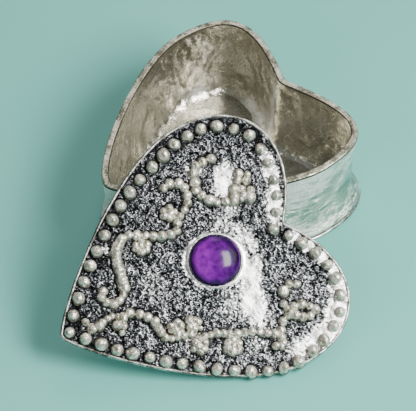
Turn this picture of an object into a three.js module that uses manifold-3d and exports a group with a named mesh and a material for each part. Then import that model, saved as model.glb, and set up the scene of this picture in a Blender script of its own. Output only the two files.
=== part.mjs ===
// A small heart-shaped keepsake box with a loose lid. The lid carries a domed stone, a border of soldered
// beads and sprigs of finer beads. It stands on its tip side in front of the box and leans on the box's rim.
//
// Millimetres, +Z up. The origin is the middle of the box's underside, and the tip of the box's heart
// points towards -Y.

import * as THREE from 'three';
import { mergeVertices } from 'three/addons/utils/BufferGeometryUtils.js';
import Module from 'manifold-3d';

const wasm = await Module();
wasm.setup();

// ---------------------------------------------------------------------------------------------------------
// Driving dimensions
// ---------------------------------------------------------------------------------------------------------

const gap = 0.3; // air kept between neighbouring pieces
const ringPoints = 30; // points on each half of a heart

// A heart is symmetric about X = 0. Its right half leaves the cleft, rounds the lobe to the widest point at
// the side, and runs down the flank to the tip. Arms are the lengths of the curve handles, and the angles
// are measured from +Y.
const boxHeart = {
  halfWidth: 24,
  sideY: 11.8,
  lobeArm: 16.2,
  flankArm: 11.1,
  cleftY: 21.3,
  cleftArm: 16.5,
  cleftAngle: 67,
  tipY: -25.4,
  tipArm: 6.8,
  tipAngle: 77,
};
const lidHeart = {
  halfWidth: 26.6,
  sideY: 6.4,
  lobeArm: 15.5,
  flankArm: 16,
  cleftY: 15.8,
  cleftArm: 16.8,
  cleftAngle: 50,
  tipY: -33.9,
  tipArm: 3.2,
  tipAngle: 77,
};

const boxHeight = 19.2;
const rimWidth = 1.4;
const waistInset = 0.9; // how far the wall draws in halfway up
const footFlare = 1.2; // how far the foot stands out past the rim
const baseThickness = 0.8;

const lidThickness = 1.3;
const lidEdgeWidth = 0.5; // raised edge round the lid
const lidFieldDepth = 0.2; // the field lies this far below the raised edge
const flangeWidth = 0.8;
const flangeDepth = 0.9;
const flangePlay = 0.5; // all-round play of the flange inside the rim

// Where the lid rests: the middle of its top edge plane, and its turn about X, then Y, then Z.
const lidPosition = new THREE.Vector3(25.5, -18, 14.7);
const lidTilt = 11.4;
const lidRoll = 31.4;
const lidYaw = -5.6;

const stoneCentre = new THREE.Vector2(0.5, 0.2);
const stoneRadius = 5;
const stoneHeight = 2.9;
const bezelWidth = 0.9;
const bezelHeight = 0.45;

const borderInset = 1.9;
const borderBead = { radius: 1.15, sides: 12, rows: 3 };
const borderStepsRight = 25;
const borderStepsLeft = 24;
// The row was set by eye and wanders off its curve: to the right at mid-height, and towards the tip over the
// left lobe.
const borderDrift = 1.1;
const driftReach = 10; // how far along Y the drift fades either way from Y = 0
const borderSag = 1;
const sagReach = 13; // the sag grows from none at X = 0 and at Y = 0 to its full size this far out

const rosetteRadius = 1.1;
const rosettePetals = 6;
const petalBead = { radius: 0.75, sides: 8, rows: 2 };

// ---------------------------------------------------------------------------------------------------------
// Hearts
// ---------------------------------------------------------------------------------------------------------

const point = (x, y) => new THREE.Vector2(x, y);
const radians = THREE.MathUtils.degToRad;

/** The vector of a length at an angle from +Y, turning towards +X. */
function arm(length, angle) {
  return point(length * Math.sin(radians(angle)), length * Math.cos(radians(angle)));
}

/** The right half of a heart: the lobe from cleft to side, then the flank from side to tip. */
function heartCurves(heart) {
  const cleft = point(0, heart.cleftY);
  const side = point(heart.halfWidth, heart.sideY);
  const tip = point(0, heart.tipY);
  const lobe = new THREE.CubicBezierCurve(
    cleft,
    arm(heart.cleftArm, heart.cleftAngle).add(cleft),
    point(heart.halfWidth, heart.sideY + heart.lobeArm),
    side,
  );
  const flank = new THREE.CubicBezierCurve(
    side,
    point(heart.halfWidth, heart.sideY - heart.flankArm),
    arm(heart.tipArm, heart.tipAngle).add(tip),
    tip,
  );
  return [lobe, flank];
}

/** A point of the half outline moved inward, and its direction. u runs 0 to 1 on the lobe, 1 to 2 on the flank. */
function insetPoint(curves, u, inset) {
  const index = Math.min(Math.floor(u), 1);
  const at = curves[index].getPoint(u - index);
  const along = curves[index].getTangent(u - index);
  return { at: point(at.x + along.y * inset, at.y - along.x * inset), along };
}

/** Where the inset half outline ends: at its own end, or where it would first fold over the heart's axis. */
function endOnAxis(curves, end, inset) {
  if (insetPoint(curves, end, inset).at.x >= 0) return end;
  let beyond = end;
  let within = 1;
  for (let halving = 0; halving < 30; halving += 1) {
    const middle = (within + beyond) / 2;
    if (insetPoint(curves, middle, inset).at.x < 0) beyond = middle;
    else within = middle;
  }
  return within;
}

/** The end of the inset half outline, carried straight on to the heart's axis. */
function axisPoint(curves, u, inset) {
  const { at, along } = insetPoint(curves, u, inset);
  return point(0, at.y - (at.x * along.y) / along.x);
}

/** The right half of a heart moved inward, from the axis at the cleft to the axis at the tip. */
function halfOutline(heart, inset, count) {
  const curves = heartCurves(heart);
  const start = endOnAxis(curves, 0, inset);
  const end = endOnAxis(curves, 2, inset);
  const between = Array.from({ length: count }, (_, index) => {
    const u = THREE.MathUtils.lerp(start, end, (index + 0.5) / count);
    return insetPoint(curves, u, inset).at;
  });
  return [axisPoint(curves, start, inset), ...between, axisPoint(curves, end, inset)];
}

/** A whole heart moved inward, clockwise from the cleft. */
function heartRing(heart, inset) {
  const right = halfOutline(heart, inset, ringPoints);
  const left = right.slice(1, -1).reverse().map((p) => point(-p.x, p.y));
  return [...right, ...left];
}

// ---------------------------------------------------------------------------------------------------------
// Solids skinned over stacked hearts. A section lists [inset, height] steps.
// ---------------------------------------------------------------------------------------------------------

function skin(heart, section) {
  const rings = section.map(([inset]) => heartRing(heart, inset));
  const size = rings[0].length;
  const positions = rings.flatMap((ring, level) => ring.flatMap((p) => [p.x, p.y, section[level][1]]));
  const faces = [];
  const band = (lower, upper) => {
    for (let index = 0; index < size; index += 1) {
      const next = (index + 1) % size;
      faces.push(lower * size + index, upper * size + index, upper * size + next);
      faces.push(lower * size + index, upper * size + next, lower * size + next);
    }
  };
  for (let level = 0; level + 1 < rings.length; level += 1) band(level, level + 1);
  return { positions, faces, size, band, last: rings.length - 1 };
}

function toGeometry(positions, faces) {
  const geometry = new THREE.BufferGeometry();
  geometry.setAttribute('position', new THREE.Float32BufferAttribute(positions, 3));
  geometry.setIndex(faces);
  geometry.computeVertexNormals();
  return geometry;
}

/** A hoop: the section goes up the outside and down the inside, and closes on itself. */
function heartHoop(heart, section) {
  const { positions, faces, band, last } = skin(heart, section);
  band(last, 0);
  return toGeometry(positions, faces);
}

/** A plate: the section goes from the underside to the top, and both ends are closed with a fan. */
function heartPlate(heart, section) {
  const { positions, faces, size, last } = skin(heart, section);
  const under = positions.length / 3;
  const over = under + 1;
  positions.push(0, 0, section[0][1], 0, 0, section[last][1]);
  for (let index = 0; index < size; index += 1) {
    const next = (index + 1) % size;
    faces.push(under, index, next);
    faces.push(over, last * size + next, last * size + index);
  }
  return toGeometry(positions, faces);
}

// ---------------------------------------------------------------------------------------------------------
// Beads
// ---------------------------------------------------------------------------------------------------------

const fieldHeight = -lidFieldDepth;

/** A ball sunk into the lid's field up to about its middle, with a flat foot a gap above the field. */
function beadGeometry({ radius, sides, rows }) {
  const centre = radius / 2;
  const footAngle = Math.asin((gap - centre) / radius);
  const profile = [point(0, gap)];
  for (let row = 0; row <= rows; row += 1) {
    const angle = THREE.MathUtils.lerp(footAngle, Math.PI / 2, row / rows);
    const reach = row < rows ? radius * Math.cos(angle) : 0;
    profile.push(point(reach, centre + radius * Math.sin(angle)));
  }
  return new THREE.LatheGeometry(profile, sides).rotateX(Math.PI / 2);
}

/** Evenly spaced places along a smooth curve through a few points. */
function strand(through, pitch) {
  const curve = new THREE.SplineCurve(through.map(([x, y]) => point(x, y)));
  return curve.getSpacedPoints(Math.round(curve.getLength() / pitch));
}

/** A closely packed patch of beads: rows of the given lengths, each nested in the one before. */
function cluster(startX, startY, angle, rowLengths, pitch) {
  const along = arm(pitch, angle);
  const across = arm(pitch * Math.sin(Math.PI / 3), angle + 90);
  return rowLengths.flatMap((length, row) => Array.from({ length }, (_, index) => {
    const shift = along.clone().multiplyScalar(index - (length - 1) / 2);
    return point(startX, startY).addScaledVector(across, row).add(shift);
  }));
}

/** A rosette: a ring of petals round a middle bead. */
function rosette(x, y) {
  const petals = Array.from({ length: rosettePetals }, (_, index) => (
    arm(rosetteRadius, (index * 360) / rosettePetals).add(point(x, y))
  ));
  return [point(x, y), ...petals];
}

function toSolid(geometry) {
  const bare = geometry.clone();
  bare.deleteAttribute('normal');
  bare.deleteAttribute('uv');
  const merged = mergeVertices(bare);
  return new wasm.Manifold(new wasm.Mesh({
    numProp: 3,
    vertProperties: merged.attributes.position.array,
    triVerts: Uint32Array.from(merged.index.array),
  }));
}

/** Beads fused into one piece. Each group has the places of its beads and the bead used for them. */
function fusedBeads(groups) {
  let fused = null;
  for (const { places, bead } of groups) {
    const geometry = beadGeometry(bead);
    for (const place of places) {
      const solid = toSolid(geometry.clone().translate(place.x, place.y, fieldHeight));
      fused = fused ? fused.add(solid) : solid;
    }
  }
  const { vertProperties, triVerts } = fused.getMesh();
  return toGeometry(Array.from(vertProperties), Array.from(triVerts));
}

// ---------------------------------------------------------------------------------------------------------
// Materials and naming
// ---------------------------------------------------------------------------------------------------------

const pewter = (color, roughness) => new THREE.MeshStandardMaterial({ color, roughness, metalness: 1 });

function piece(name, geometry, material) {
  const mesh = new THREE.Mesh(geometry, material);
  mesh.name = name;
  return mesh;
}

// ---------------------------------------------------------------------------------------------------------
// The box
// ---------------------------------------------------------------------------------------------------------

/** The wall: waisted outside, a flat rim, and a rounded foot inside where it meets the base. */
function boxWall() {
  const foot = baseThickness + gap;
  const section = [
    [-footFlare + 0.1, foot],
    [-footFlare + 0.3, foot + 0.8],
    [waistInset / 2, foot + 2.4],
    [waistInset, boxHeight * 0.4],
    [waistInset * 0.75, boxHeight * 0.65],
    [waistInset * 0.3, boxHeight * 0.88],
    [0, boxHeight - 0.3],
    [0.2, boxHeight],
    [rimWidth - 0.2, boxHeight],
    [rimWidth, boxHeight - 0.3],
    [rimWidth + waistInset * 0.6, boxHeight * 0.5],
    [rimWidth + waistInset * 0.6, foot + 2.2],
    [rimWidth + waistInset, foot + 0.7],
    [2 * rimWidth, foot],
  ];
  return piece('box_wall', heartHoop(boxHeart, section), pewter(0xb8b6ab, 0.4));
}

function basePlate() {
  const section = [
    [-footFlare + 0.2, 0],
    [-footFlare, 0.2],
    [-footFlare, baseThickness - 0.2],
    [-footFlare + 0.2, baseThickness],
  ];
  return piece('base_plate', heartPlate(boxHeart, section), pewter(0x8f8c80, 0.55));
}

// ---------------------------------------------------------------------------------------------------------
// The lid. Its local Z = 0 is the top of the raised edge.
// ---------------------------------------------------------------------------------------------------------

function lidPlate() {
  const section = [
    [0.3, -lidThickness],
    [0, -lidThickness + 0.3],
    [0, -0.2],
    [0.2, 0],
    [lidEdgeWidth, 0],
    [lidEdgeWidth + 0.25, fieldHeight],
  ];
  return piece('lid_plate', heartPlate(lidHeart, section), pewter(0x7d7f80, 0.5));
}

/** A shallow hoop under the lid that drops inside the rim, so it follows the box's heart. */
function lidFlange() {
  const outer = rimWidth + flangePlay;
  const top = -lidThickness - gap;
  const section = [
    [outer + 0.1, top - flangeDepth],
    [outer, top],
    [outer + flangeWidth, top],
    [outer + flangeWidth, top - flangeDepth],
  ];
  const geometry = heartHoop(boxHeart, section);
  geometry.translate(0, (lidHeart.cleftY + lidHeart.tipY - boxHeart.cleftY - boxHeart.tipY) / 2, 0);
  return piece('lid_flange', geometry, pewter(0xa5a296, 0.5));
}

function bezel() {
  const inner = stoneRadius + gap;
  const outer = inner + bezelWidth;
  const foot = fieldHeight + gap;
  const profile = [
    point(inner, foot),
    point(outer + 0.15, foot),
    point(outer, foot + bezelHeight * 0.6),
    point((inner + outer) / 2, foot + bezelHeight),
    point(inner, foot + bezelHeight * 0.8),
    point(inner, foot),
  ];
  const geometry = new THREE.LatheGeometry(profile, 32).rotateX(Math.PI / 2);
  geometry.translate(stoneCentre.x, stoneCentre.y, 0);
  return piece('bezel', geometry, pewter(0xd2d2cf, 0.2));
}

/** The stone: a short upright girdle under an elliptical dome. */
function cabochon() {
  const foot = fieldHeight + gap;
  const girdle = foot + 0.7;
  const domeRows = 6;
  const profile = [point(0, foot), point(stoneRadius, foot)];
  for (let row = 0; row <= domeRows; row += 1) {
    const angle = (Math.PI / 2) * (row / domeRows);
    const reach = row < domeRows ? stoneRadius * Math.cos(angle) : 0;
    profile.push(point(reach, girdle + (stoneHeight - 0.7) * Math.sin(angle)));
  }
  const geometry = new THREE.LatheGeometry(profile, 32).rotateX(Math.PI / 2);
  geometry.translate(stoneCentre.x, stoneCentre.y, 0);
  const stone = new THREE.MeshStandardMaterial({ color: 0x6b1f98, roughness: 0.12, metalness: 0 });
  return piece('cabochon', geometry, stone);
}

/** A border bead's place once it has wandered off the row's curve. */
function wander(place) {
  const { smoothstep } = THREE.MathUtils;
  const drift = borderDrift * Math.exp(-((place.y / driftReach) ** 2));
  const sag = borderSag * smoothstep(-place.x, 0, sagReach) * smoothstep(place.y, 0, sagReach);
  return point(place.x + drift, place.y - sag);
}

/** Single beads round the lid, evenly spaced from cleft to tip on each side. */
function borderBeads() {
  const half = new THREE.Path(halfOutline(lidHeart, borderInset, 4 * ringPoints));
  const rightPlaces = half.getSpacedPoints(borderStepsRight);
  const leftPlaces = half.getSpacedPoints(borderStepsLeft).slice(1, -1).reverse();
  const places = [...rightPlaces, ...leftPlaces.map((p) => point(-p.x, p.y))];
  const geometry = beadGeometry(borderBead);
  return places.map((place, index) => {
    const { x, y } = wander(place);
    const name = `border_bead_${String(index + 1).padStart(2, '0')}`;
    const mesh = piece(name, geometry, pewter(0xbdb6a8, 0.38));
    mesh.position.set(x, y, fieldHeight);
    return mesh;
  });
}

/** Sprigs of fine beads, drawn with strands, clusters and rosettes on the lid's field. */
function sprigs() {
  const fine = (radius) => ({ radius, sides: 8, rows: 2 });
  const upper = [
    { places: strand([[-17.8, 8.8], [-17.6, 5.1], [-14.7, 3.6], [-12.9, 3.45], [-10, 5.4], [-8.4, 8.7],
      [-8.2, 10.6]], 1.68),
    bead: fine(1) },
    { places: cluster(-12.2, 13, 30, [2, 2, 3, 3], 1.7), bead: fine(0.98) },
  ];
  const left = [
    { places: strand([[-16.8, -2.3], [-17, -0.2], [-15.4, 1.5], [-12.9, 1.15], [-11.4, 0], [-10.3, -2.4],
      [-8.3, -3.6], [-8.1, -5.6], [-9.4, -8.4], [-11.7, -12.6], [-11.7, -14.2]], 1.65),
    bead: fine(0.92) },
    { places: strand([[-11.7, -14.2], [-10, -16.4], [-6.5, -17.5], [-2.9, -18.2]], 1.2), bead: fine(0.9) },
    { places: strand([[-2.9, -18.2], [-1.3, -19.8], [-1.4, -22.2], [-3.2, -23.2], [-4.3, -22.2]], 1.4),
      bead: fine(0.84) },
    { places: [...rosette(-11.9, -3.7), ...rosette(-8.6, -11.6)], bead: petalBead },
  ];
  const lowerLeft = [
    { places: strand([[-0.4, -28.1], [1.2, -27.6], [1.6, -26]], 1.6), bead: fine(0.95) },
    { places: strand([[1.6, -26], [0.9, -24], [1.1, -22.4], [2.2, -21.2]], 1.1), bead: fine(0.75) },
    { places: strand([[2.2, -21.2], [2.1, -19.4], [4.2, -17], [5.7, -16.1]], 1.65), bead: fine(0.97) },
    { places: strand([[5.7, -16.1], [9.3, -15.7], [10.4, -14], [11, -11]], 1.35), bead: fine(0.82) },
    { places: cluster(3.3, -22.3, 20, [2, 1], 1.4), bead: fine(0.82) },
    { places: [...rosette(8.7, -12.9), ...rosette(9.7, -9.5)], bead: petalBead },
  ];
  const lowerRight = [
    { places: strand([[12.7, -8.7], [13.3, -6.2], [14.6, -4.2]], 1.25), bead: fine(0.82) },
    { places: strand([[14.6, -4.2], [16.5, 0.4], [18.5, 3.8], [19.8, 4.6]], 1.5), bead: fine(0.88) },
    { places: strand([[19.8, 4.6], [17.5, 6.1], [16.7, 8.3], [18.5, 10.6], [18.5, 12.6], [17.6, 13.2],
      [16, 11.4], [15.7, 9.8]], 1.5),
    bead: fine(0.86) },
    { places: strand([[19.8, 4.6], [21.3, 4.4], [20.9, 2.9]], 1.2), bead: fine(0.82) },
    { places: strand([[16.4, 8.3], [14.3, 8]], 1.2), bead: fine(0.82) },
    { places: [...rosette(14, -10.5), ...rosette(16.8, -4.5)], bead: petalBead },
  ];
  const right = [
    { places: [point(12, 9.3)], bead: fine(1.1) },
    { places: strand([[11.2, 10.9], [12, 12.2]], 1.5), bead: fine(0.92) },
  ];
  const named = { upper_vine: upper, left_vine: left, lower_left_vine: lowerLeft, lower_right_vine: lowerRight,
    right_sprig: right };
  return Object.entries(named).map(([name, groups]) => piece(name, fusedBeads(groups), pewter(0xbab3a2, 0.42)));
}

// ---------------------------------------------------------------------------------------------------------
// Assembly
// ---------------------------------------------------------------------------------------------------------

const lid = new THREE.Group();
lid.add(lidPlate(), lidFlange(), bezel(), cabochon(), ...borderBeads(), ...sprigs());
lid.position.copy(lidPosition);
lid.rotation.set(radians(lidTilt), radians(lidRoll), radians(lidYaw), 'ZYX');

const keepsakeBox = new THREE.Group();
keepsakeBox.add(boxWall(), basePlate(), lid);

export default keepsakeBox;
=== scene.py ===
"""Looks for the heart-shaped keepsake box: an open pewter box and its jewelled lid, leaning on the rim."""

import math

import bpy
import numpy as np
from mathutils import Euler, Matrix, Vector, noise


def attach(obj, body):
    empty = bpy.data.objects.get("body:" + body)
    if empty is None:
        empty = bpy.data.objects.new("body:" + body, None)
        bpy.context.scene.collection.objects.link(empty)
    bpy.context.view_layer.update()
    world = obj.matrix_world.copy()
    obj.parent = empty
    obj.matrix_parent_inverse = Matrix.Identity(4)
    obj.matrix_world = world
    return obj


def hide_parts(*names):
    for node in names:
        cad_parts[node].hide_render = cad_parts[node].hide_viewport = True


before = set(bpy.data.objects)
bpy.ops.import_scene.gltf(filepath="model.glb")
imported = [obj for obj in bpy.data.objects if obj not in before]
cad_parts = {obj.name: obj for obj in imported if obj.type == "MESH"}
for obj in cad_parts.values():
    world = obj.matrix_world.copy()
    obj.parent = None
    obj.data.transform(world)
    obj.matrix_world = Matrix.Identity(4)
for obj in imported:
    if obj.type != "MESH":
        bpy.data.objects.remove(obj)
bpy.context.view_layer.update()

MM = 0.001  # a millimetre in metres

# ---------------------------------------------------------------------------------------------------------
# Driving dimensions, in millimetres
# ---------------------------------------------------------------------------------------------------------

# A heart has two curves to a side. It is given by half its width, the height of its widest place, the arms of
# the lobe and the flank there, and its cleft and tip, each with the length and angle of its arm.
BOX_HEART = dict(half=24, side=11.8, lobe=16.2, flank=11.1, cleft=21.3, cleft_arm=16.5, cleft_angle=67,
                 tip=-25.4, tip_arm=6.8, tip_angle=77)
LID_HEART = dict(half=26.6, side=6.4, lobe=15.5, flank=16, cleft=15.8, cleft_arm=16.8, cleft_angle=50,
                 tip=-33.9, tip_arm=3.2, tip_angle=77)
BOX_SOFT = 0.9  # how far the box's cleft and tip are rounded
LID_SOFT = 0.5
BOX_HEIGHT = 19.2
RIM = 1.4  # width of the flat rim
WAIST = 0.9  # how far the wall draws in at its middle
FLARE = 1.2  # how far the base reaches past the rim's outline
BASE = 0.8  # thickness of the base sheet
FOOT = 1.1  # height at which the wall starts
DIRT_REACH = 0.3  # how far painted shade spreads from a corner of the wall

# The outside of the wall is worn satin above and below a nearly mirror-bright band, which widens on one side.
# The band's green colour is a painted reflection of the floor.
MIRROR_HEIGHT = 7.5
MIRROR_REACH = 7
MIRROR_WAY = np.array([0.62, 0.78])
MIRROR_START = 19  # how far out along MIRROR_WAY the widening starts
MIRROR_SPREAD = 7  # and how soon it is at its widest
MIRROR_GAIN = 0.55

LID_THICKNESS = 1.3
FIELD = -0.2  # height of the field, below the top of the rolled edge
FIELD_INSET = 0.42  # of the field's outline from the lid's
LID_TURN = np.array(Euler([math.radians(a) for a in (11.4, 31.4, -5.6)], "XYZ").to_matrix())
LID_PLACE = np.array([25.5, -18, 14.7])

# The hoop under the lid: its faces are inset from the box's outline, and it reaches down to a low end.
HOOP_OUTER = 1.9
HOOP_INNER = 2.7
HOOP_LOW = -2.5

BEAD_COUNT = 49  # round the lid's edge
BEAD_RADIUS = 1.13
BEAD_STRAY = 0.12  # how far a bead sits off its row
BEAD_LUMP = 0.14  # how lumpy a bead is, as a share of its radius
FINE_BEADS = (-4, 16)  # the border beads are smaller round here
FINE_REACH = 7
FINE_SHARE = 0.2  # how much smaller they are at most

STONE = np.array([0.5, 0.2])
STONE_RADIUS = 5.15
STONE_HEIGHT = 2.9
GLOW_WAY = np.array([-0.40, -0.92])  # the stone is painted lighter on this side, as glowing light
BEZEL_INNER = 5.2
BEZEL_OUTER = 6.0

# The metal round the stone is worn bright along WORN_WAY, and little across it.
WORN_WAY = np.array([0.46, 0.89])
HALO_REACH = 5.9
HALO_STRETCH = 1.1  # how much further it reaches along WORN_WAY
HALO_FADE = 0.8

FLOOR_SIDE = 3000  # half the floor's side
FLOOR_GAP = 0.02  # how far the floor is below the base

RING_COUNT = 360  # points round a heart
GRID_STEP = 0.16  # of the lid's field

# ---------------------------------------------------------------------------------------------------------
# Curves
# ---------------------------------------------------------------------------------------------------------


def arm(length, angle):
    """The vector of a length at an angle in degrees from +Y, turning towards +X."""
    a = math.radians(angle)
    return np.array([length * math.sin(a), length * math.cos(a)])


def bezier(points, t):
    """Places and directions along a cubic Bezier curve."""
    a, b, c, d = (np.asarray(p, float)[None] for p in points)
    t = t[:, None]
    s = 1 - t
    at = s**3 * a + 3 * s * s * t * b + 3 * s * t * t * c + t**3 * d
    along = 3 * s * s * (b - a) + 6 * s * t * (c - b) + 3 * t * t * (d - c)
    return at, along / np.linalg.norm(along, axis=1, keepdims=True)


def half_heart(heart, inset):
    """The right half of a heart moved inward, from the axis at the cleft to the axis at the tip."""
    cleft = np.array([0, heart["cleft"]])
    side = np.array([heart["half"], heart["side"]])
    tip = np.array([0, heart["tip"]])
    lobe = (cleft, cleft + arm(heart["cleft_arm"], heart["cleft_angle"]), side + [0, heart["lobe"]], side)
    flank = (side, side - [0, heart["flank"]], tip + arm(heart["tip_arm"], heart["tip_angle"]), tip)
    t = np.linspace(0, 1, 400)
    parts = [bezier(lobe, t), bezier(flank, t[1:])]
    at = np.vstack([p[0] for p in parts])
    along = np.vstack([p[1] for p in parts])
    moved = at + inset * np.stack([along[:, 1], -along[:, 0]], 1)
    kept = np.flatnonzero(moved[:, 0] > 0)
    kept = kept[(kept >= first_run(moved[:, 0])) & (kept <= last_run(moved[:, 0]))]
    ends = []
    for index in (kept[0], kept[-1]):
        x, y = moved[index]
        ends.append([0, y - x * along[index, 1] / along[index, 0]])
    return np.vstack([ends[0], moved[kept], ends[1]])


def first_run(x):
    """Where the stretch of positive x round the middle begins."""
    middle = len(x) // 2
    wrong = np.flatnonzero(x[:middle] <= 0)
    return wrong[-1] + 1 if len(wrong) else 0


def last_run(x):
    """Where the stretch of positive x round the middle ends."""
    middle = len(x) // 2
    wrong = np.flatnonzero(x[middle:] <= 0)
    return middle + wrong[0] - 1 if len(wrong) else len(x) - 1


def evenly(line, count):
    """count + 1 places evenly spaced along a line of points."""
    length = np.concatenate([[0], np.cumsum(np.linalg.norm(np.diff(line, axis=0), axis=1))])
    want = np.linspace(0, length[-1], count + 1)
    return np.stack([np.interp(want, length, line[:, k]) for k in range(line.shape[1])], 1)


def heart_ring(heart, inset, soft=0.0):
    """A whole heart moved inward, clockwise from the cleft; soft rounds its corners, in millimetres."""
    right = evenly(half_heart(heart, inset), RING_COUNT // 2)
    ring = np.vstack([right, right[-2:0:-1] * [-1, 1]])
    if soft:
        step = np.linalg.norm(np.roll(ring, 1, 0) - ring, axis=1).mean()
        reach = int(3 * soft / step)
        weights = np.exp(-0.5 * (np.arange(-reach, reach + 1) * step / soft) ** 2)
        ring = sum(w * np.roll(ring, k - reach, 0) for k, w in enumerate(weights)) / weights.sum()
    return ring


def spline(points, count):
    """A Catmull-Rom curve through the points, evenly spaced."""
    p = np.asarray(points, float)
    p = np.vstack([p[0], p, p[-1]])
    t = np.linspace(0, 1, 24)[:, None]
    pieces = []
    for a, b, c, d in zip(p, p[1:], p[2:], p[3:]):
        pieces.append(b + t * (c - a) / 2 + t * t * (a - 2.5 * b + 2 * c - d / 2)
                      + t**3 * (1.5 * (b - c) + (d - a) / 2))
    return evenly(np.vstack(pieces), count)


def strand(points, pitch):
    """Places evenly spaced at about a pitch along a curve through the points."""
    fine = spline(points, 400)
    length = np.linalg.norm(np.diff(fine, axis=0), axis=1).sum()
    return evenly(fine, round(length / pitch))


# ---------------------------------------------------------------------------------------------------------
# Meshes
# ---------------------------------------------------------------------------------------------------------


def make_object(name, verts, faces, materials, material_index=None, on_lid=False, **attributes):
    """A smooth-shaded mesh object from millimetre vertices, with float attributes on its points."""
    if on_lid:
        verts = np.asarray(verts) @ LID_TURN.T + LID_PLACE
    if isinstance(faces, np.ndarray):
        faces = faces.tolist()
    mesh = bpy.data.meshes.new(name)
    mesh.from_pydata((np.asarray(verts) * MM).tolist(), [], faces)
    for material in materials:
        mesh.materials.append(material)
    mesh.polygons.foreach_set("use_smooth", [True] * len(mesh.polygons))
    if material_index is not None:
        mesh.polygons.foreach_set("material_index", material_index)
    for key, values in attributes.items():
        layer = mesh.attributes.new(key, "FLOAT", "POINT")
        layer.data.foreach_set("value", np.asarray(values, np.float32))
    mesh.update()
    piece = bpy.data.objects.new(name, mesh)
    bpy.context.scene.collection.objects.link(piece)
    return piece


def ring_faces(levels, size, closed=False):
    """Quads between stacked rings, facing out where the rings climb clockwise."""
    j = np.arange(size)
    n = (j + 1) % size
    pairs = [(k, k + 1) for k in range(levels - 1)] + ([(levels - 1, 0)] if closed else [])
    quads = [np.stack([a * size + j, b * size + j, b * size + n, a * size + n], 1) for a, b in pairs]
    return np.vstack(quads)


def stack_rings(heart, section, soft):
    """Vertices of a heart ring for each (inset, height) step of a section."""
    section = np.asarray(section, float)
    insets = np.unique(np.round(section[:, 0], 3))
    rings = {inset: heart_ring(heart, inset, soft) for inset in insets}
    levels = []
    for inset, height in section:
        ring = rings[round(inset, 3)]
        levels.append(np.column_stack([ring, np.full(len(ring), height)]))
    return np.vstack(levels)


def outward(verts, levels, size, closed):
    """Rough normals of a ring mesh, from its neighbours."""
    grid = verts.reshape(levels, size, 3)
    around = np.roll(grid, -1, 1) - np.roll(grid, 1, 1)
    if closed:
        along = np.roll(grid, -1, 0) - np.roll(grid, 1, 0)
    else:
        along = np.gradient(grid, axis=0)
    normal = np.cross(along, around)
    normal /= np.linalg.norm(normal, axis=2, keepdims=True) + 1e-12
    return normal.reshape(-1, 3)


def wobble(verts, scale, depth, seed):
    """Smooth noise at each vertex, about -1 to 1, of about a scale in millimetres and a depth in octaves."""
    shift = Vector((seed, seed * 0.7, -seed))
    return np.array([noise.fractal(Vector(v) / scale + shift, 1.0, 2.0, depth) for v in verts.tolist()])


def lathe(profile, sides):
    """Vertices and faces of a profile of (reach, height) turned about Z; its ends may lie on the axis."""
    angles = np.arange(sides) * 2 * math.pi / sides
    verts, starts = [], []
    for reach, height in profile:
        starts.append(len(verts))
        if reach < 1e-9:
            verts.append([0, 0, height])
        else:
            verts += [[reach * math.cos(a), reach * math.sin(a), height] for a in angles]
    starts.append(len(verts))
    faces = []
    for level in range(len(profile) - 1):
        a, b = starts[level], starts[level + 1]
        lone_a, lone_b = b - a == 1, starts[level + 2] - b == 1
        for k in range(sides):
            n = (k + 1) % sides
            if lone_a:
                faces.append((a, b + n, b + k))
            elif lone_b:
                faces.append((a + k, a + n, b))
            else:
                faces.append((a + k, a + n, b + n, b + k))
    return np.array(verts, float), faces


# ---------------------------------------------------------------------------------------------------------
# Materials
# ---------------------------------------------------------------------------------------------------------


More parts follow.
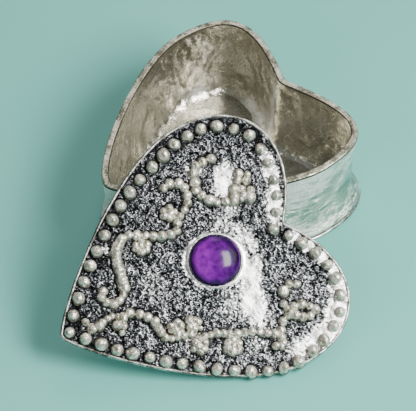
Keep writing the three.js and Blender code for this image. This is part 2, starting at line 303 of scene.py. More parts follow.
class Look:
    """A node material built up a step at a time."""

    def __init__(self, name, **shader):
        self.material = bpy.data.materials.new(name)
        self.material.use_nodes = True
        self.tree = self.material.node_tree
        self.shader = self.tree.nodes["Principled BSDF"]
        for key, value in shader.items():
            self.shader.inputs[key.replace("_", " ")].default_value = value
        self.bumps = None

    def node(self, kind, **settings):
        """A new node of a kind, with its settings."""
        made = self.tree.nodes.new(kind)
        for key, value in settings.items():
            setattr(made, key, value)
        return made

    def link(self, source, target):
        """Joins an output socket to an input socket."""
        self.tree.links.new(source, target)

    def coordinates(self, stretch=(1, 1, 1)):
        """Object coordinates in millimetres, stretched."""
        where = self.node("ShaderNodeTexCoord")
        mapping = self.node("ShaderNodeMapping")
        mapping.inputs["Scale"].default_value = [1000 * s for s in stretch]
        self.link(where.outputs["Object"], mapping.inputs["Vector"])
        return mapping.outputs["Vector"]

    def grain(self, size, detail=3.0, rough=0.6, stretch=(1, 1, 1)):
        """A noise value with features of about a size in millimetres."""
        texture = self.node("ShaderNodeTexNoise")
        texture.inputs["Scale"].default_value = 1 / size
        texture.inputs["Detail"].default_value = detail
        texture.inputs["Roughness"].default_value = rough
        self.link(self.coordinates(stretch), texture.inputs["Vector"])
        return texture.outputs["Fac"]

    def attribute(self, name):
        """The value that the mesh gives under a name."""
        return self.node("ShaderNodeAttribute", attribute_name=name).outputs["Fac"]

    def ramp(self, value, *stops):
        """Maps a value to colours or greys through stops of (position, colour or number)."""
        ramp = self.node("ShaderNodeValToRGB")
        elements = ramp.color_ramp.elements
        while len(elements) < len(stops):
            elements.new(0.5)
        for element, (position, colour) in zip(elements, stops):
            element.position = position
            element.color = (*colour, 1) if isinstance(colour, tuple) else (colour, colour, colour, 1)
        self.link(value, ramp.inputs["Fac"])
        return ramp.outputs["Color"]

    def mix(self, value, first, second):
        """Mixes two colours or numbers, each a socket or a constant, by a value from 0 to 1."""
        mixer = self.node("ShaderNodeMix", data_type="RGBA")
        for socket, given in ((mixer.inputs[0], value), (mixer.inputs[6], first), (mixer.inputs[7], second)):
            if isinstance(given, (int, float)):
                socket.default_value = given
            elif isinstance(given, tuple):
                socket.default_value = (*given, 1)
            else:
                self.link(given, socket)
        return mixer.outputs[2]

    def bump(self, value, height):
        """Adds relief of a height in millimetres."""
        bump = self.node("ShaderNodeBump")
        bump.inputs["Distance"].default_value = height * MM
        self.link(value, bump.inputs["Height"])
        if self.bumps is not None:
            self.link(self.bumps, bump.inputs["Normal"])
        self.bumps = bump.outputs["Normal"]
        self.link(self.bumps, self.shader.inputs["Normal"])

    def colour(self, socket):
        """Takes the surface's colour from a socket."""
        self.link(socket, self.shader.inputs["Base Color"])

    def roughness(self, socket):
        """Takes the surface's roughness from a socket."""
        self.link(socket, self.shader.inputs["Roughness"])

    def metallic(self, socket):
        """Takes how metallic the surface is from a socket."""
        self.link(socket, self.shader.inputs["Metallic"])


def brushed_pewter():
    """The outside of the wall: scratched level all round, satin in places and nearly a mirror in others,
    painted green there as a reflection of the floor.
    """
    look = Look("brushed_pewter")
    streaks = look.ramp(look.grain(1.0, 4.0, 0.65, stretch=(0.28, 0.28, 3.2)), (0.40, 0.0), (0.60, 1.0))
    broad = look.grain(3.0, 3.0, 0.6, stretch=(0.6, 0.6, 1.5))
    blotch = look.ramp(broad, (0.40, 0.0), (0.60, 1.0))
    speck = look.grain(0.5, 4.0, 0.7)
    tone = look.mix(0.4, streaks, blotch)
    tone = look.mix(0.25, tone, look.ramp(speck, (0.42, 0.0), (0.58, 1.0)))
    satin = look.ramp(look.mix(0.35, look.attribute("satin"), tone), (0.22, 0.0), (0.70, 1.0))
    # the mirror colours are tinted green: a painted reflection of the floor
    mirror = look.ramp(tone, (0.25, (0.24, 0.38, 0.31)), (0.5, (0.45, 0.60, 0.51)),
                       (0.75, (0.88, 0.96, 0.89)))
    clean = look.mix(satin, mirror, look.ramp(tone, (0.25, (0.70, 0.73, 0.68)), (0.6, (0.95, 0.96, 0.93))))
    # painted shade: a dark line along the rim's corners and at the foot
    dirt = look.ramp(look.attribute("dirt"), (0.3, 0.0), (0.8, 1.0))
    look.colour(look.mix(dirt, clean, (0.04, 0.035, 0.028)))
    look.metallic(look.ramp(satin, (0.0, 1.0), (1.0, 0.62)))
    look.roughness(look.ramp(satin, (0.0, 0.16), (1.0, 0.42)))
    look.bump(broad, 0.4)
    look.bump(streaks, 0.15)
    look.bump(speck, 0.05)
    return look.material


def cut_edge():
    """The rim: filed flat, warmer and lighter, with nicks, and painted shade along both corners."""
    look = Look("cut_edge", Metallic=0.85)
    fine = look.grain(0.35, 4.0, 0.7)
    broad = look.grain(2.2, 3.0, 0.6)
    tone = look.mix(0.5, fine, broad)
    clean = look.ramp(tone, (0.44, (0.17, 0.16, 0.115)), (0.5, (0.53, 0.51, 0.40)),
                      (0.56, (0.86, 0.84, 0.71)))
    # painted shade along both corners of the rim, made ragged by noise
    dirt = look.ramp(look.mix(0.4, look.attribute("dirt"), broad), (0.46, 0.0), (0.60, 1.0))
    look.colour(look.mix(dirt, clean, (0.05, 0.042, 0.03)))
    look.roughness(look.ramp(tone, (0.44, 0.6), (0.56, 0.34)))
    look.bump(broad, 0.2)
    look.bump(fine, 0.08)
    return look.material


def cast_pewter(name="cast_pewter", light=1.0, dull=0.29):
    """Rough-cast warm grey with glints, and brighter, less metallic painted highlights in given spots; light
    scales its colours, dull its roughness.
    """
    look = Look(name)
    fine = look.grain(0.32, 4.0, 0.7)
    middle = look.grain(1.8, 2.0, 0.5)
    broad = look.grain(5.0, 2.0, 0.5)
    tone = look.mix(0.7, look.mix(0.5, middle, broad), fine)
    colours = (0.50, 0.48, 0.39), (0.70, 0.68, 0.58), (0.90, 0.88, 0.80)
    dark, mid, high = (tuple(light * part for part in colour) for colour in colours)
    rough = look.ramp(tone, (0.43, dark), (0.50, mid), (0.57, high))
    spread = look.ramp(tone, (0.43, 0.0), (0.57, 1.0))
    # painted highlights: a brighter, less metallic colour in the given spots
    polish = look.ramp(look.mix(0.45, look.attribute("polish"), spread), (0.42, 0.0), (0.72, 1.0))
    bright = look.ramp(tone, (0.44, (0.66, 0.65, 0.60)), (0.52, (0.99, 0.98, 0.95)))
    look.colour(look.mix(polish, rough, bright))
    look.metallic(look.ramp(polish, (0.0, 1.0), (1.0, 0.55)))
    look.roughness(look.ramp(tone, (0.45, dull), (0.55, 0.55 * dull)))
    look.bump(broad, 1.2)
    look.bump(middle, 0.05)
    look.bump(fine, 0.05)
    return look.material


def granular_lid():
    """The lid's field: bright grains over black hollows, burnished smooth in patches; its brightness also
    holds painted shade and light.
    """
    look = Look("granular_lid", Metallic=1.0)
    # the 'height' value is the grains' brightness, with painted shade and light in it
    height = look.attribute("height")
    burnish = look.attribute("burnish")
    fine = look.grain(0.16, 3.0, 0.6)
    speck = look.mix(0.3, height, fine)
    rough_colour = look.ramp(speck, (0.30, (0.004, 0.0045, 0.005)), (0.46, (0.048, 0.050, 0.056)),
                             (0.58, (0.30, 0.31, 0.33)), (0.72, (0.92, 0.92, 0.92)))
    smooth_colour = look.ramp(speck, (0.25, (0.35, 0.36, 0.38)), (0.45, (0.93, 0.93, 0.92)))
    look.colour(look.mix(burnish, rough_colour, smooth_colour))
    look.roughness(look.mix(burnish, look.ramp(speck, (0.4, 0.5), (0.7, 0.28)), (0.30, 0.30, 0.30)))
    look.bump(fine, 0.06)
    return look.material


def lid_metal(name="lid_metal"):
    """The lid's edge and underside, and the base's edge: plain brushed sheet."""
    look = Look(name, Metallic=1.0)
    fine = look.grain(0.3, 4.0, 0.65)
    broad = look.grain(3.0, 3.0, 0.6)
    tone = look.mix(0.5, fine, broad)
    look.colour(look.ramp(tone, (0.43, (0.09, 0.085, 0.07)), (0.5, (0.36, 0.35, 0.32)),
                          (0.58, (0.74, 0.73, 0.69))))
    look.roughness(look.ramp(tone, (0.35, 0.5), (0.65, 0.3)))
    look.bump(broad, 0.12)
    look.bump(fine, 0.04)
    return look.material


def bead_metal():
    """Beads: warm satin grey, with painted shade round the foot."""
    look = Look("bead_metal", Metallic=0.78)
    fine = look.grain(0.22, 3.0, 0.6)
    broad = look.grain(1.0, 3.0, 0.6)
    tone = look.mix(0.5, fine, broad)
    clean = look.ramp(tone, (0.43, (0.26, 0.24, 0.17)), (0.5, (0.75, 0.71, 0.59)),
                      (0.56, (0.99, 0.97, 0.89)))
    # painted shade: near black round the bead's foot
    look.colour(look.mix(look.attribute("tarnish"), clean, (0.03, 0.03, 0.032)))
    look.roughness(look.ramp(tone, (0.42, 0.42), (0.58, 0.24)))
    look.bump(broad, 0.28)
    look.bump(fine, 0.05)
    return look.material


def polished_metal():
    """The bezel: worn smooth and bright."""
    look = Look("polished_metal", Metallic=1.0)
    fine = look.grain(0.4, 3.0, 0.6)
    look.colour(look.ramp(fine, (0.40, (0.70, 0.70, 0.70)), (0.50, (0.96, 0.96, 0.95))))
    look.roughness(look.ramp(fine, (0.42, 0.42), (0.58, 0.26)))
    look.bump(fine, 0.03)
    return look.material


def purple_stone():
    """The stone: deep purple, painted paler and pinker on one side as glowing light, with painted shade at
    the girdle.
    """
    look = Look("purple_stone", Roughness=0.5, Coat_Weight=0.5, Coat_Roughness=0.17, IOR=1.1)
    cloud = look.grain(2.6, 3.0, 0.5)
    veil = look.grain(0.9, 2.0, 0.5)
    glow = look.attribute("glow")
    tone = look.mix(0.24, glow, look.ramp(look.mix(0.4, cloud, veil), (0.40, 0.0), (0.60, 1.0)))
    look.colour(look.ramp(tone, (0.14, (0.004, 0.0, 0.010)), (0.36, (0.030, 0.0, 0.070)),
                          (0.60, (0.105, 0.0, 0.19)), (0.85, (0.24, 0.012, 0.36))))
    return look.material


# ---------------------------------------------------------------------------------------------------------
# The box
# ---------------------------------------------------------------------------------------------------------


# Painted highlights inside the wall, each a bright spot: the middle, its reach round the wall and its reach
# in height.
POLISHED = [
    (-21.3, 15.6, 2.4, 2.2, 1.8),
    (-11.5, 21.6, 1.4, 2.6, 2.0),
    (-7.6, 20.8, 2.0, 3.2, 2.8),
    (-4.0, 20.2, 3.0, 3.0, 3.6),
    (-2.3, 20.2, 10.0, 1.5, 8.0),
]


def dirt_at(section):
    """How much painted shade darkens the wall at each step of its section: at both corners of the rim and at
    the foot.
    """
    corners = [(0.0, 18.85), (RIM, 19.0), (-1.05, FOOT)]
    away = [np.hypot(*(section - corner).T) for corner in corners]
    return np.exp(-(np.min(away, axis=0) / DIRT_REACH) ** 2)


def satin_at(verts):
    """How satin the outside is: 0 or less for a mirror, painted green as a reflection of the floor, up to 1.
    """
    worn = np.clip(np.abs(verts[:, 2] - MIRROR_HEIGHT) / MIRROR_REACH, 0, 1)
    aside = np.clip((verts[:, :2] @ MIRROR_WAY - MIRROR_START) / MIRROR_SPREAD, 0, 1)
    return worn - MIRROR_GAIN * aside


def polish_at(verts):
    """How strong the painted highlight inside the wall is, 0 to 1."""
    polish = np.zeros(len(verts))
    for x, y, z, round_reach, tall_reach in POLISHED:
        aside = np.hypot(verts[:, 0] - x, verts[:, 1] - y) / round_reach
        polish = np.maximum(polish, np.exp(-aside**2 - ((verts[:, 2] - z) / tall_reach) ** 2))
    return polish


def box_shell():
    """The wall: a waisted, flared outside, a filed rim and a rough inside that rounds into the floor."""
    outer = spline([(-1.05, FOOT), (-1.0, 1.55), (-0.5, 2.15), (0.2, 3.1), (0.72, 5.2), (WAIST, 8),
                    (0.72, 12), (0.34, 16), (0.06, 18.4)], 34)
    rim = spline([(0.02, 18.65), (0.0, 18.95), (0.08, 19.12), (0.25, BOX_HEIGHT), (0.7, BOX_HEIGHT),
                  (RIM - 0.25, BOX_HEIGHT), (RIM - 0.06, 19.1), (RIM, 18.9)], 16)
    inner = spline([(RIM + 0.04, 18.6), (1.62, 16), (1.84, 12), (1.95, 8), (1.98, 4.6), (2.15, 3.0),
                    (2.6, 1.85), (3.2, 1.2), (3.9, 0.85), (4.7, 0.55)], 40)
    section = np.round(np.vstack([outer, rim, inner]), 3)
    levels = len(section)
    verts = stack_rings(BOX_HEART, section, BOX_SOFT)
    depth = np.concatenate([np.full(len(outer), 0.10), np.full(len(rim), 0.05), np.full(len(inner), 0.16)])
    depth = np.repeat(depth, RING_COUNT)
    shift = wobble(verts, 7, 2, 1.0) * depth + wobble(verts, 1.6, 3, 5.0) * depth * 0.35
    verts = verts + outward(verts, levels, RING_COUNT, closed=False) * shift[:, None]
    index = np.zeros(levels - 1, int)
    index[len(outer):len(outer) + len(rim) - 1] = 1
    index[len(outer) + len(rim) - 1:] = 2
    piece = make_object("box_shell", verts, ring_faces(levels, RING_COUNT),
                        [brushed_pewter(), cut_edge(), cast_pewter()], np.repeat(index, RING_COUNT),
                        dirt=np.repeat(dirt_at(section), RING_COUNT), satin=satin_at(verts),
                        polish=polish_at(verts))
    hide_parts("box_wall")
    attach(piece, "box")


def base_sheet():
    """The base: a sheet with a rounded edge and a rough floor of rings that close on its middle."""
    edge = [(-FLARE + 0.4, 0), (-FLARE + 0.12, 0.06), (-FLARE, 0.25), (-FLARE, BASE - 0.25),
            (-FLARE + 0.12, BASE - 0.06), (-FLARE + 0.4, BASE)]
    section = [(2.8, 0), *edge, (2.8, BASE)]
    verts = stack_rings(BOX_HEART, section, BOX_SOFT)
    size = RING_COUNT
    sides = ring_faces(len(section), size).tolist()
    middle = np.array([0, 0, BASE])
    rings = [middle + (verts[-size:] - middle) * k for k in np.linspace(1, 0.04, 26)[1:]]
    floor_faces = (ring_faces(len(rings) + 1, size) + len(verts) - size).tolist()
    verts = np.vstack([verts, *rings])
    caps = [list(range(len(verts) - size, len(verts)))[::-1], list(range(size))]
    top = verts[:, 2] > BASE - 0.01
    verts[top, 2] += 0.10 * wobble(verts[top], 3.2, 3, 9.0)
    index = [1] * len(sides) + [0] * (len(floor_faces) + len(caps))
    # the floor is a darker copy of cast_pewter, at 0.62 of its colours: painted shade
    materials = [cast_pewter("cast_base", 0.62, 0.55), lid_metal("sheet_edge")]
    piece = make_object("base_sheet", verts, sides + floor_faces + caps, materials, index)
    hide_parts("base_plate")
    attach(piece, "box")


# ---------------------------------------------------------------------------------------------------------
# The lid
# ---------------------------------------------------------------------------------------------------------

# Patches worn smooth and bright: centre, half-lengths, turn in degrees, strength.
BURNISHED = [
    (6.4, 5.0, 3.6, 2.0, -35, 1.0),
    (11.2, 3.0, 4.8, 2.3, -12, 1.0),
    (9.6, -1.0, 3.0, 2.0, -45, 0.5),
    (-12.6, 9.2, 3.4, 1.9, -30, 1.0),
    (-8.0, 7.6, 3.0, 1.6, -20, 0.55),
    (-5.2, 4.6, 2.6, 2.0, -35, 0.5),
    (-0.6, 7.4, 3.4, 1.8, 10, 0.7),
    (15.8, 19.6, 4.6, 1.7, -22, 0.9),
    (20.8, 16.6, 3.8, 2.2, -45, 1.0),
    (23.2, 12.6, 4.2, 2.3, -80, 1.0),
    (23.6, 7.2, 2.6, 1.8, -95, 0.8),
    (-10.2, 18.3, 4.2, 1.4, -12, 1.0),
    (-4.2, 15.9, 4.4, 1.5, -28, 1.0),
    (-17.4, 4.6, 1.3, 2.0, 0, 0.6),
    (12.3, -11.0, 1.8, 1.4, 0, 0.6),
    (18.6, -0.4, 1.4, 2.6, 20, 0.4),
    (-10.6, -17.2, 1.0, 2.6, -30, 0.5),
    (-0.6, -12.4, 2.8, 2.8, 0, 0.36),
    (3.4, 16.5, 1.0, 1.3, 20, 1.0),
    (6.3, 18.0, 1.0, 1.3, 20, 1.0),
    (9.5, 19.3, 1.0, 1.3, 20, 1.0),
]


# Layers of the lid's relief: each one's finest and coarsest feature in millimetres, and its seed.
GRAINS = (0.17, 0.42, 11)
LUMPS = (0.5, 1.3, 12)
CLUMPS = (1.0, 2.6, 15)
DRIFT = (2.0, 6.0, 13)
RAGGED = (0.3, 1.5, 14)


def smooth_noise(shape, finest, coarsest, seed):
    """Noise on the lid's grid whose features run from a finest to a coarsest size in millimetres."""
    rows, columns = shape
    field = np.random.default_rng(seed).standard_normal(shape)
    ky = np.fft.fftfreq(rows, GRID_STEP)[:, None]
    kx = np.fft.rfftfreq(columns, GRID_STEP)[None]
    k2 = kx * kx + ky * ky
    keep = np.exp(-k2 * finest**2 * 2) - np.exp(-k2 * coarsest**2 * 2)
    made = np.fft.irfft2(np.fft.rfft2(field) * keep, s=shape)
    return made / made.std()


def inside(points, outline):
    """Which points lie inside a closed outline."""
    result = np.zeros(len(points), bool)
    x, y = points[:, 0], points[:, 1]
    for (x0, y0), (x1, y1) in zip(outline, np.roll(outline, -1, 0)):
        if y0 == y1:
            continue
        crosses = (y0 > y) != (y1 > y)
        result ^= crosses & (x < (x1 - x0) * (y - y0) / (y1 - y0) + x0)
    return result


def edge_distance(x, y):
    """Distance from the lid's outline, in millimetres."""
    nearest = np.full_like(x, 99.0)
    for ex, ey in heart_ring(LID_HEART, 0)[::2]:
        nearest = np.minimum(nearest, np.hypot(x - ex, y - ey))
    return nearest


def burnish_at(x, y):
    """How smooth the lid is worn, 0 to 1: in patches, and round the stone."""
    worn = np.zeros_like(x)
    for cx, cy, along, across, turn, strength in BURNISHED:
        c, s = math.cos(math.radians(turn)), math.sin(math.radians(turn))
        u, v = ((x - cx) * c + (y - cy) * s) / along, (-(x - cx) * s + (y - cy) * c) / across
        worn = np.maximum(worn, strength * np.exp(-0.45 * (u * u + v * v) ** 2))
    reach = np.hypot(x - STONE[0], y - STONE[1]) + 1e-9
    in_line = ((x - STONE[0]) * WORN_WAY[0] + (y - STONE[1]) * WORN_WAY[1]) / reach
    halo = np.clip((HALO_REACH + HALO_STRETCH * in_line**2 - reach) / HALO_FADE, 0, 1)
    return np.maximum(worn, halo)


def tarnish_round(beads, x, y):
    """How much painted shade darkens the field, 0 to 1, in a ring round the foot of each bead."""
    tarnish = np.zeros_like(x)
    for bx, by, radius in beads:
        distance = np.hypot(x - bx, y - by)
        tarnish = np.maximum(tarnish, np.exp(-(((distance - radius * 1.15) / 0.28) ** 2)))
    return tarnish


def field_relief(x, y, beads):
    """The field's height, how bright its grains are with painted shade and light, and how smooth it is worn,
    at places on the grid.
    """
    grains, lumps, clumps, drift, ragged = (smooth_noise(x.shape, *layer)
                                            for layer in (GRAINS, LUMPS, CLUMPS, DRIFT, RAGGED))
    worn = burnish_at(x, y)
    worn = np.clip((worn + 0.2 * ragged * (worn > 0.04) - 0.40) / 0.30, 0, 1)
    relief = np.tanh(0.8 * grains + 0.35 * lumps + 0.22 * clumps)
    rough = 1 - 0.9 * worn
    z = FIELD + 0.02 + rough * (0.11 * relief + 0.05 * lumps + 0.04 * clumps) + 0.06 * drift
    # painted shade and light: darker near the left part of the edge, lighter towards the right
    border = np.exp(-((edge_distance(x, y) / 4.2) ** 2)) * np.clip((13 - x) / 4, 0, 1)
    bright = 0.425 + 0.32 * relief + 0.045 * drift - 0.11 * border + 0.04 * np.clip(x / 12, 0, 1)
    # painted shade: a dark ring round the foot of each bead, less where worn
    bright = bright - 0.22 * tarnish_round(beads, x, y) * (1 - worn)
    return z, bright, worn


def grid_inside(x, y, outline, first):
    """Which points of a grid belong to cells inside an outline, and the cells as faces counted from first."""
    keep = inside(np.stack([x.ravel(), y.ravel()], 1), outline).reshape(x.shape)
    cell = keep[:-1, :-1] & keep[1:, :-1] & keep[:-1, 1:] & keep[1:, 1:]
    rows, columns = cell.shape
    used = np.zeros_like(keep)
    for dy in (0, 1):
        for dx in (0, 1):
            used[dy:dy + rows, dx:dx + columns] |= cell
    number = np.full(keep.shape, -1)
    number[used] = np.arange(used.sum()) + first
    corners = number[:-1, :-1], number[:-1, 1:], number[1:, 1:], number[1:, :-1]
    return used, np.stack([corner[cell] for corner in corners], 1).tolist()


def lid_edge():
    """Vertices and faces of the lid's rolled edge and flat underside."""
    section = spline([(0.30, -LID_THICKNESS), (0.10, -1.24), (0.0, -1.05), (0.0, -0.6), (0.02, -0.2),
                      (0.12, -0.04), (0.3, 0.02), (0.48, -0.04), (0.62, -0.25), (0.66, -0.5)], 20)
    section = np.round(section, 3)
    verts = stack_rings(LID_HEART, section, LID_SOFT)
    normal = outward(verts, len(section), RING_COUNT, closed=False)
    verts += normal * (0.06 * wobble(verts, 2.2, 3, 3.0))[:, None]
    faces = ring_faces(len(section), RING_COUNT).tolist() + [list(range(RING_COUNT))]
    return verts, faces


def lid_body(beads):
    """The lid: a rolled edge and underside, and a field of fused grains inside the edge."""
    edge, edge_faces = lid_edge()
    limits = heart_ring(LID_HEART, FIELD_INSET, LID_SOFT)
    low, high = limits.min(0) - 0.5, limits.max(0) + 0.5
    x, y = np.meshgrid(np.arange(low[0], high[0], GRID_STEP), np.arange(low[1], high[1], GRID_STEP))
    z, bright, worn = field_relief(x, y, beads)
    used, field_faces = grid_inside(x, y, limits, len(edge))
    verts = np.vstack([edge, np.stack([x[used], y[used], z[used]], 1)])
    index = [0] * len(edge_faces) + [1] * len(field_faces)
    pad = np.zeros(len(edge))
    piece = make_object("lid_body", verts, edge_faces + field_faces, [lid_metal(), granular_lid()], index,
                        on_lid=True, height=np.concatenate([pad + 0.7, bright[used]]),
                        burnish=np.concatenate([pad + 1, worn[used]]))
    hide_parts("lid_plate")
    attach(piece, "lid")


def flange_hoop():
    """The locating hoop under the lid, which fits inside the box's rim."""
    high = -LID_THICKNESS - 0.02
    section = spline([(HOOP_INNER, high), (HOOP_INNER, HOOP_LOW + 0.15), (HOOP_INNER - 0.2, HOOP_LOW),
                      (HOOP_OUTER + 0.3, HOOP_LOW), (HOOP_OUTER + 0.08, HOOP_LOW + 0.15),
                      (HOOP_OUTER, high)], 18)
    section = np.round(section[::-1], 3)
    verts = stack_rings(BOX_HEART, section, BOX_SOFT)
    middle = (LID_HEART["cleft"] + LID_HEART["tip"] - BOX_HEART["cleft"] - BOX_HEART["tip"]) / 2
    verts += [0, middle, 0]
    normal = outward(verts, len(section), RING_COUNT, closed=True)
    verts += normal * (0.04 * wobble(verts, 2, 3, 4.0))[:, None]
    faces = ring_faces(len(section), RING_COUNT, closed=True)[:, ::-1]
    piece = make_object("flange_hoop", verts, faces, [cast_pewter("cast_flange")], on_lid=True)
    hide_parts("lid_flange")
    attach(piece, "lid")


def bead_profile(radius):
    """A ball sunk by half its radius, spreading into a fillet of solder at the foot."""
    centre = 0.5 * radius
    ball = [(radius * math.cos(a), centre + radius * math.sin(a)) for a in np.linspace(math.pi / 2, -0.25, 9)]
    ball[0] = (0, ball[0][1])
    foot = [(radius * 0.99, 0.16 * radius), (radius * 1.08, 0.05 * radius), (radius * 1.22, -0.10 * radius)]
    return [*ball, *foot][::-1]


def bead_mesh(radius, place, rng, sides=24):
    """One hand-made bead at a place on the field: slightly oval, turned and lumpy, with its painted shade at
    the foot.
    """
    verts, faces = lathe(bead_profile(radius), sides)
    turn = rng.uniform(0, math.pi)
    c, s = math.cos(turn), math.sin(turn)
    oval = 1 + np.array([rng.uniform(-0.03, 0.13), rng.uniform(-0.08, 0.03), rng.uniform(-0.10, 0.05)])
    spin = np.array([[c, -s, 0], [s, c, 0], [0, 0, 1]])
    level = verts[:, 2] / radius
    verts = (verts * oval) @ spin.T
    seed = rng.uniform(0, 100)
    lump = wobble(verts, 0.75 * radius + 0.2, 2, seed)
    verts *= 1 + BEAD_LUMP * lump[:, None] * np.clip(level, 0, 1)[:, None]
    # painted shade on the bead's lower part, darkest at the foot
    tarnish = np.clip((0.42 - level) / 0.5, 0, 1) ** 1.3
    return verts + [place[0], place[1], FIELD], faces, tarnish


def local_middle(node):
    """The middle of a CAD node's vertices, in the lid's own frame, in millimetres."""
    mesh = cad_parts[node].data
    points = np.zeros(len(mesh.vertices) * 3)
    mesh.vertices.foreach_get("co", points)
    world = np.array(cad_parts[node].matrix_world)
    points = points.reshape(-1, 3) @ world[:3, :3].T + world[:3, 3]
    points = np.unique(np.round(points / MM, 3), axis=0)
    return ((points - LID_PLACE) @ LID_TURN).mean(0)


def border_beads(material):
    """The beads round the lid's edge, each near its CAD node's place; returns their places and radii."""
    rng = np.random.default_rng(21)
    made = []
    for number in range(1, BEAD_COUNT + 1):
        node = f"border_bead_{number:02d}"
        place = local_middle(node)[:2] + rng.uniform(-BEAD_STRAY, BEAD_STRAY, 2)
        finer = math.exp(-(math.dist(place, FINE_BEADS) / FINE_REACH) ** 2)
        radius = BEAD_RADIUS * (1 + rng.uniform(-0.11, 0.09)) * (1 - FINE_SHARE * finer)
        smooth = burnish_at(*place)
        verts, faces, tarnish = bead_mesh(radius, place, rng)
        piece = make_object(f"bead_{number:02d}", verts, faces, [material], on_lid=True,
                            tarnish=tarnish * (1 - 0.8 * smooth))
        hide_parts(node)
        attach(piece, "lid")
        made.append((*place, radius))
    return made


def cluster(x, y, angle, rows, pitch):
    """A packed patch of beads: rows of the given lengths, each nested in the one before."""
    along, across = arm(pitch, angle), arm(pitch * math.sin(math.pi / 3), angle + 90)
    return [np.array([x, y]) + across * row + along * (k - (length - 1) / 2)
            for row, length in enumerate(rows) for k in range(length)]


def rosette(x, y, radius=1.1, petals=6):
    """A bead in the middle of a ring of beads."""
    middle = np.array([x, y])
    return [middle] + [middle + arm(radius, k * 360 / petals) for k in range(petals)]


# The sprigs are groups of fused beads: their places, their radius and how uneven they are.
SPRIGS = {
    "upper_vine": [
        (strand([(-17.8, 8.8), (-17.6, 5.1), (-14.7, 3.6), (-12.9, 3.45), (-10, 5.4), (-8.4, 8.7),
                 (-8.2, 10.6)], 1.68), 0.97, 0.13),
        (cluster(-12.2, 13, 30, [2, 2, 3, 3], 1.7), 0.95, 0.28),
    ],
    "left_vine": [
        (strand([(-16.8, -2.3), (-17, -0.2), (-15.4, 1.5), (-12.9, 1.15), (-11.4, 0), (-10.3, -2.4),
                 (-8.3, -3.6), (-8.1, -5.6), (-9.4, -8.4), (-11.7, -12.6), (-11.7, -14.2)], 1.65),
         0.92, 0.13),
        (strand([(-11.7, -14.2), (-10, -16.4), (-6.5, -17.5), (-2.9, -18.2)], 0.85), 1.06, 0.06),
        (strand([(-2.9, -18.2), (-1.3, -19.8), (-1.4, -22.2), (-3.2, -23.2), (-4.3, -22.2)], 1.4),
         0.86, 0.13),
        (rosette(-11.9, -3.7) + rosette(-8.6, -11.6), 0.8, 0.28),
    ],
    "lower_left_vine": [
        (strand([(-0.4, -28.1), (1.2, -27.6), (1.6, -26)], 1.6), 0.9, 0.13),
        (strand([(1.6, -26), (0.9, -24), (1.1, -22.4), (2.2, -21.2)], 1.1), 0.75, 0.13),
        (strand([(2.2, -21.2), (2.1, -19.4), (4.2, -17), (5.7, -16.1)], 1.65), 0.92, 0.13),
        (strand([(5.7, -16.1), (9.3, -15.7), (10.4, -14), (11, -11)], 1.35), 0.84, 0.13),
        (cluster(3.3, -22.3, 20, [2, 1], 1.4), 0.82, 0.28),
        (rosette(8.7, -12.9) + rosette(9.7, -9.5), 0.8, 0.28),
    ],
    "lower_right_vine": [
        (strand([(12.7, -8.7), (13.3, -6.2), (14.6, -4.2)], 1.25), 0.82, 0.13),
        (strand([(14.6, -4.2), (16.5, 0.4), (18.5, 3.8), (19.8, 4.6)], 1.5), 0.88, 0.13),
        (strand([(19.8, 4.6), (17.5, 6.1), (16.7, 8.3), (18.5, 10.6), (18.5, 12.6), (17.6, 13.2), (16, 11.4),
                 (15.7, 9.8)], 1.5), 0.86, 0.13),
        (strand([(19.8, 4.6), (21.3, 4.4), (20.9, 2.9)], 1.2), 0.82, 0.13),
        (strand([(16.4, 8.3), (14.3, 8)], 1.2), 0.82, 0.13),
        (rosette(14, -10.5) + rosette(16.8, -4.5), 0.8, 0.28),
    ],
    "right_sprig": [
        ([(12, 9.3)], 1.1, 0.1),
        (strand([(11.2, 10.9), (12, 12.2)], 1.5), 0.92, 0.13),
    ],
}


def sprigs(material):
    """The sprigs, each one piece of fused beads; returns the places and radii of the beads."""
    rng = np.random.default_rng(33)
    made = []
    for node, groups in SPRIGS.items():
        verts, faces, tarnish = [], [], []
        total = 0
        for places, size, mess in groups:
            for place in places:
                radius = size * (1 + rng.uniform(-mess, mess))
                place = np.asarray(place) + rng.uniform(-mess, mess, 2)
                bead_verts, bead_faces, bead_tarnish = bead_mesh(radius, place, rng, sides=18)
                bead_verts[:, 2] += mess * rng.uniform(-0.4, 1.0)
                verts.append(bead_verts)
                faces += [[k + total for k in face] for face in bead_faces]
                tarnish.append(bead_tarnish * (1 - 0.8 * burnish_at(*place)))
                total += len(bead_verts)
                made.append((*place, radius))
        piece = make_object(f"{node}_beads", np.vstack(verts), faces, [material], on_lid=True,
                            tarnish=np.concatenate(tarnish))
        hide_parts(node)
        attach(piece, "lid")
    return made


def stone_glow(verts):
    """Painted light in the stone: a glow strongest on one side, painted shade at its edge, and a thin painted
    reflection arc.
    """
    reach = np.hypot(verts[:, 0], verts[:, 1]) / STONE_RADIUS
    side = verts[:, :2] @ GLOW_WAY / STONE_RADIUS
    glow = 0.52 + 0.46 * side
    glow *= 1 - 0.95 * np.clip((reach - 0.76) / 0.22, 0, 1) ** 1.3
    # a thin bright arc inside the far edge: a painted reflection
    arc = np.exp(-(((reach - 0.885) / 0.022) ** 2))
    return glow + 1.4 * np.clip(-side - 0.35, 0, 1) * arc


def stone_dome():
    """The stone: a round cabochon on a low girdle."""
    foot = FIELD + 0.05
    girdle = FIELD + 0.55
    rise = FIELD + 0.3 + STONE_HEIGHT - girdle
    dome = [(STONE_RADIUS * math.cos(a) ** 0.92, girdle + rise * math.sin(a))
            for a in np.linspace(0, 1.5, 30)]
    profile = [(0, foot), (STONE_RADIUS - 0.45, foot), (STONE_RADIUS - 0.05, foot + 0.1), *dome,
               (0, girdle + rise)]
    verts, faces = lathe(profile, 96)
    piece = make_object("stone_dome", verts + [*STONE, 0], faces, [purple_stone()], on_lid=True,
                        glow=stone_glow(verts))
    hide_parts("cabochon")
    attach(piece, "lid")


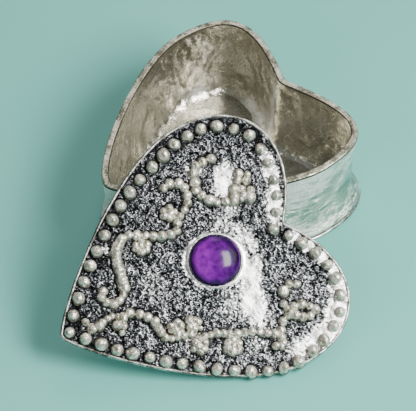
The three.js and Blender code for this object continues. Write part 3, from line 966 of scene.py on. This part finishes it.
def bezel_ring():
    """A low collar round the stone, rubbed down into the field and narrow across WORN_WAY."""
    foot = FIELD - 0.05
    profile = spline([(BEZEL_INNER, foot), (BEZEL_INNER + 0.03, -0.10), (BEZEL_INNER + 0.14, -0.05),
                      (BEZEL_INNER + 0.45, -0.06), (BEZEL_OUTER, -0.14), (BEZEL_OUTER + 0.2, foot)], 24)
    verts, faces = lathe([tuple(p) for p in profile], 120)
    reach = np.hypot(verts[:, 0], verts[:, 1])[:, None]
    way = verts[:, :2] / reach
    width = 0.4 + 0.6 * (way @ WORN_WAY)[:, None] ** 2
    verts[:, :2] = way * (BEZEL_INNER + (reach - BEZEL_INNER) * width)
    verts[:, :2] *= 1 + 0.010 * wobble(verts, 2.0, 2, 6.0)[:, None]
    verts[:, 2] += 0.02 * wobble(verts, 1.6, 2, 8.0)
    faces = [face[::-1] for face in faces]
    piece = make_object("bezel_ring", verts + [*STONE, 0], faces, [polished_metal()], on_lid=True)
    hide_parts("bezel")
    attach(piece, "lid")


# ---------------------------------------------------------------------------------------------------------
# Floor, light and camera
# ---------------------------------------------------------------------------------------------------------

CAMERA_TURN = 51.31  # degrees round from the tip's side
CAMERA_RISE = 48.46  # degrees up from level
CAMERA_AIM = np.array([10.14, -7.08, 9.21])
CAMERA_DISTANCE = 576
CAMERA_LENS = 246.9
CAMERA_SENSOR = 36


def facing(place, aim):
    """The matrix of a thing at a place that looks at an aim, both in millimetres."""
    turn = Vector(aim - place).to_track_quat("-Z", "Y").to_matrix().to_4x4()
    return Matrix.Translation(Vector(place) * MM) @ turn


def camera():
    """A long lens looking down on the lid from the front right."""
    turn, rise = math.radians(CAMERA_TURN), math.radians(CAMERA_RISE)
    back = np.array([math.sin(turn) * math.cos(rise), -math.cos(turn) * math.cos(rise), math.sin(rise)])
    data = bpy.data.cameras.new("camera")
    data.lens = CAMERA_LENS
    data.sensor_width = CAMERA_SENSOR
    data.clip_start = 0.01
    made = bpy.data.objects.new("camera", data)
    made.matrix_world = facing(CAMERA_AIM + back * CAMERA_DISTANCE, CAMERA_AIM)
    bpy.context.scene.collection.objects.link(made)
    bpy.context.scene.camera = made


def softbox(name, way, distance, width, height, power, colour, turn=0.0):
    """A soft rectangular light in a direction from the lid's middle, turned about its own axis."""
    way = np.array(way, float) / np.linalg.norm(way)
    data = bpy.data.lights.new(name, "AREA")
    data.shape = "RECTANGLE"
    data.size = width * MM
    data.size_y = height * MM
    data.energy = power
    data.color = colour
    light = bpy.data.objects.new(name, data)
    spin = Matrix.Rotation(math.radians(turn), 4, "Z")
    light.matrix_world = facing(LID_PLACE + way * distance, LID_PLACE) @ spin
    light.visible_camera = False
    bpy.context.scene.collection.objects.link(light)
    return light


def floor():
    """A plain pale green floor."""
    corners = (-1, -1), (1, -1), (1, 1), (-1, 1)
    verts = np.array([[x * FLOOR_SIDE, y * FLOOR_SIDE, -FLOOR_GAP] for x, y in corners])
    look = Look("floor_paint", Roughness=0.45)
    look.colour(look.ramp(look.grain(60, 2.0, 0.5), (0.3, (0.13, 0.47, 0.41)), (0.7, (0.15, 0.49, 0.43))))
    plane = make_object("floor", verts, [[0, 1, 2, 3]], [look.material])


def sky():
    """A dim, even, cool light from all round."""
    world = bpy.data.worlds.new("studio")
    world.use_nodes = True
    shade = world.node_tree.nodes["Background"]
    shade.inputs["Color"].default_value = (0.80, 0.86, 0.86, 1)
    shade.inputs["Strength"].default_value = 0.22
    bpy.context.scene.world = world


box_shell()
base_sheet()
bead = bead_metal()
placed = border_beads(bead) + sprigs(bead)
lid_body(placed)
flange_hoop()
stone_dome()
bezel_ring()
floor()
sky()

# Soft lights: direction, distance, width, height, power, colour and turn.
softbox("window", (0.71, 0.29, 0.87), 420, 150, 240, 3.5, (1.0, 0.98, 0.95), -40)
softbox("side_fill", (0.9, 0.9, 0.9), 700, 500, 400, 1.8, (0.95, 1.0, 1.0))
softbox("back_glow", (-0.6, 0.6, 0.95), 700, 350, 350, 0.8, (1.0, 0.98, 0.94))
fill = softbox("front_fill", (0.1, -1.0, 0.7), 700, 600, 400, 2.2, (0.97, 1.0, 1.0))
fill.visible_glossy = False
camera()
